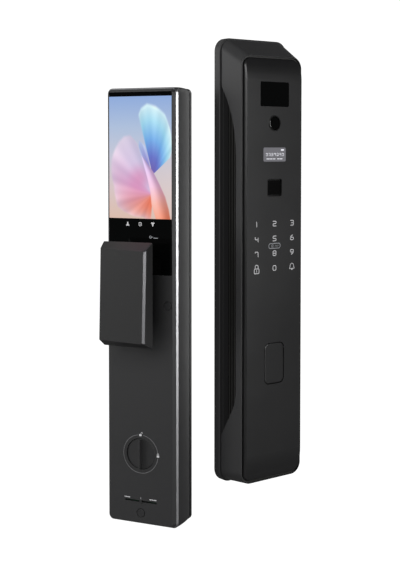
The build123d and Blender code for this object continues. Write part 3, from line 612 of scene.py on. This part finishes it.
def blue_petals(u, v, picture):
    """A tall petal, upper right, violet at its foot and pale at its tip, and a narrow one beside it."""
    cover, out, turn = petal(u, v, (0.69, 0.35), (-34, -28, -22, -12), (0.30, 0.46, 0.56, 0.40))
    color = ramp(out, [(0.48, 0.40, 0.72), (0.60, 0.60, 0.86), (0.72, 0.80, 0.94)])
    picture = over(picture, 0.9 * cover, color + folds(turn, out, 22, 0.05))
    cover, out, turn = petal(u, v, (0.70, 0.36), (-16, -11, -5, 3, 13, 20, 31, 42, 50),
                             (0.88, 0.99, 1.04, 1.0, 0.90, 0.77, 0.60, 0.46, 0.36))
    color = ramp(out, [(0.46, 0.38, 0.68), (0.42, 0.47, 0.80), (0.48, 0.70, 0.93), (0.66, 0.87, 0.96),
                       (0.86, 0.95, 0.97)])
    edge = smooth((out - 0.9) * 10)[..., None]
    return over(picture, cover, np.clip(color + folds(turn, out, 13, 0.045) + 0.07 * edge, 0, 1))


def pink_petals(u, v, picture):
    """A broad fan to the left: lilac above, pink across its middle and coral below."""
    cover, out, turn = petal(
        u, v, (0.70, 0.20), (-177, -154, -125, -108, -95, -80, -64, -53, -43, -36, -29, -23, -17),
        (0.40, 0.37, 0.50, 0.61, 0.62, 0.65, 0.76, 0.85, 0.91, 0.95, 0.97, 0.94, 0.74))
    color = ramp((turn + 176) / 162, [(0.92, 0.46, 0.34), (0.93, 0.50, 0.40), (0.91, 0.56, 0.52),
                                      (0.89, 0.60, 0.68), (0.88, 0.64, 0.80), (0.84, 0.76, 0.89),
                                      (0.80, 0.78, 0.90)])
    color = over(color, (0.75 * out ** 3)[..., None], np.array([0.90, 0.86, 0.92]))
    picture = over(picture, cover, np.clip(color + folds(turn, out, 8, 0.05), 0, 1))
    blush = smooth(1 - np.hypot((u - 0.50) / 0.26, (v - 0.33) / 0.16))
    return over(picture, 0.55 * blush[..., None] * cover, np.array([0.87, 0.50, 0.68]))


def stem(u, v, picture):
    """A ribbon that leaves the petals' meeting point and widens to the lower right."""
    left = np.interp(v, (0, 0.12, 0.22, 0.33, 0.42, 0.52), (0.74, 0.67, 0.655, 0.61, 0.565, 0.52))
    right = np.interp(v, (0, 0.08, 0.18, 0.28, 0.38, 0.46, 0.52), (0.99, 0.965, 0.91, 0.82, 0.72, 0.61, 0.53))
    across = (u - left) / (right - left)
    cover = smooth(across * 12) * smooth((1 - across) * 12) * smooth((0.53 - v) * 30)
    color = ramp(v / 0.53, [(0.95, 0.58, 0.47), (0.94, 0.68, 0.64), (0.92, 0.74, 0.84), (0.86, 0.74, 0.90),
                            (0.80, 0.76, 0.92)])
    sheen = 0.10 * np.sin(np.pi * (1.6 * across + 0.2)) - 0.05 * smooth(across * 2 - 1)
    return over(picture, cover[..., None], np.clip(color + sheen[..., None], 0, 1))


def flower(u, v):
    """The picture, 0 to 1 across and up: a pale sky warm at its foot, and the flower over it."""
    picture = ramp(v, [(0.88, 0.76, 0.70), (0.86, 0.79, 0.79), (0.80, 0.80, 0.86), (0.70, 0.77, 0.88),
                       (0.58, 0.69, 0.88)])
    warm = smooth((u - 0.5) * 1.6) * smooth((0.7 - v) * 2.2)
    picture = over(picture, 0.5 * warm[..., None], np.array([0.88, 0.84, 0.84]))
    for layer in (blue_petals, pink_petals, stem):
        picture = layer(u, v, picture)
    return np.clip(picture, 0, 1)


def make_screen_picture():
    """A flat grid over the lit area; each point's colour is the flower's at its place."""
    u, v = np.meshgrid(np.linspace(0, 1, SCREEN_COLUMNS), np.linspace(0, 1, SCREEN_ROWS))
    points = place(INSIDE, (u - 0.5) * SCREEN_W, (v - 0.5) * SCREEN_H + SCREEN_Z, FACE + PRINT_LIFT)
    mesh = bpy.data.meshes.new("screen_picture")
    mesh.from_pydata(points.reshape(-1, 3).tolist(), [], grid_faces(SCREEN_ROWS, SCREEN_COLUMNS))
    shown = flower(u, v)
    linear = np.where(shown < 0.04045, shown / 12.92, ((shown + 0.055) / 1.055) ** 2.4)
    colors = np.concatenate([linear.reshape(-1, 3), np.ones((SCREEN_COLUMNS * SCREEN_ROWS, 1))], -1)
    layer = mesh.color_attributes.new("picture", "FLOAT_COLOR", "POINT")
    layer.data.foreach_set("color", colors.ravel())
    material, tree, shader = new_material("lit_picture", Base_Color=(0.002, 0.002, 0.002),
                                          Roughness=0.06, Emission_Strength=0.95)
    picture = add(tree, "ShaderNodeAttribute", attribute_name="picture").outputs["Color"]
    feed(tree, shader.inputs["Emission Color"], picture)
    mesh.materials.append(material)
    piece = add_object("screen_picture", mesh)
    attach(piece, "lock")


make_screen_picture()
print_screen_keys(SCREEN_Z - TOUCH_KEYS_DOWN)

# ------------------------------------------------------------------------------------------
# Stage: soft lights, a dim room for the surfaces to mirror, and a pale floor with a round bend
# ------------------------------------------------------------------------------------------
STAGE_MIDDLE = np.array([-0.05, 0.0, -0.02])
FLOOR_DROP, FLOOR_BEND = 0.5, 0.8
FLOOR_NEAR, FLOOR_FAR, FLOOR_HALF_WIDTH, WALL_TALL = -3.0, 1.2, 4.0, 2.4


def soft_light(name, toward, distance, width, height, power):
    """A rectangular soft light, in a direction from the object's middle, facing it."""
    data = bpy.data.lights.new(name, "AREA")
    data.shape, data.size, data.size_y, data.energy = "RECTANGLE", width, height, power
    light = add_object(name, data)
    direction = np.asarray(toward, float) / np.linalg.norm(toward)
    light.location = STAGE_MIDDLE + distance * direction
    light.rotation_euler = Vector(-direction).to_track_quat("-Z", "Y").to_euler()


soft_light("key_softbox", (-0.78, -0.50, 0.45), 1.8, 1.2, 1.2, 21)
soft_light("front_strip", (0.34, -0.94, 0.05), 1.8, 0.35, 0.75, 13)
soft_light("right_strip", (0.96, 0.28, 0.05), 1.6, 0.35, 2.2, 7)
soft_light("rear_left_strip", (-0.66, 0.75, 0.15), 1.6, 0.6, 1.8, 8)
soft_light("left_softbox", (-0.93, 0.38, 0.15), 1.8, 0.8, 1.4, 9)
soft_light("top_softbox", (-0.1, 0.5, 1.0), 1.6, 1.2, 1.2, 3)


def make_room():
    """White where the camera looks past the object, and dim grey for everything else."""
    world = bpy.data.worlds.new("studio")
    world.use_nodes = True
    tree = world.node_tree
    seen = add(tree, "ShaderNodeLightPath").outputs["Is Camera Ray"]
    shade = blend_colors(tree, seen, (0.04, 0.04, 0.042), (1.0, 1.0, 1.0))
    feed(tree, tree.nodes["Background"].inputs["Color"], shade)
    bpy.context.scene.world = world


def make_floor():
    """A profile carried sideways: a flat floor, a quarter-round bend and a wall behind."""
    quarter = np.linspace(0, np.pi / 2, 16)
    ahead = np.concatenate([[FLOOR_NEAR], FLOOR_FAR + FLOOR_BEND * np.sin(quarter), [FLOOR_FAR + FLOOR_BEND]])
    height = np.concatenate([[0.0], FLOOR_BEND * (1 - np.cos(quarter)), [FLOOR_BEND + WALL_TALL]])
    side = np.linspace(FLOOR_HALF_WIDTH, -FLOOR_HALF_WIDTH, 9)
    grid = STAGE_MIDDLE - FLOOR_DROP * UPWARD + side[:, None, None] * ASIDE
    grid = grid + ahead[None, :, None] * AHEAD + height[None, :, None] * UPWARD
    mesh = bpy.data.meshes.new("floor")
    mesh.from_pydata(grid.reshape(-1, 3).tolist(), [], grid_faces(*grid.shape[:2]))
    mesh.polygons.foreach_set("use_smooth", np.ones(len(mesh.polygons), bool))
    material, tree, shader = new_material("pale_floor", Base_Color=(0.2, 0.2, 0.2), Roughness=0.9,
                                          Emission_Color=(1.0, 1.0, 1.0))
    seen = add(tree, "ShaderNodeLightPath").outputs["Is Camera Ray"]
    feed(tree, shader.inputs["Emission Strength"], seen)
    mesh.materials.append(material)
    add_object("floor", mesh)


make_room()
make_floor()
bpy.context.scene.view_settings.view_transform = "Standard"
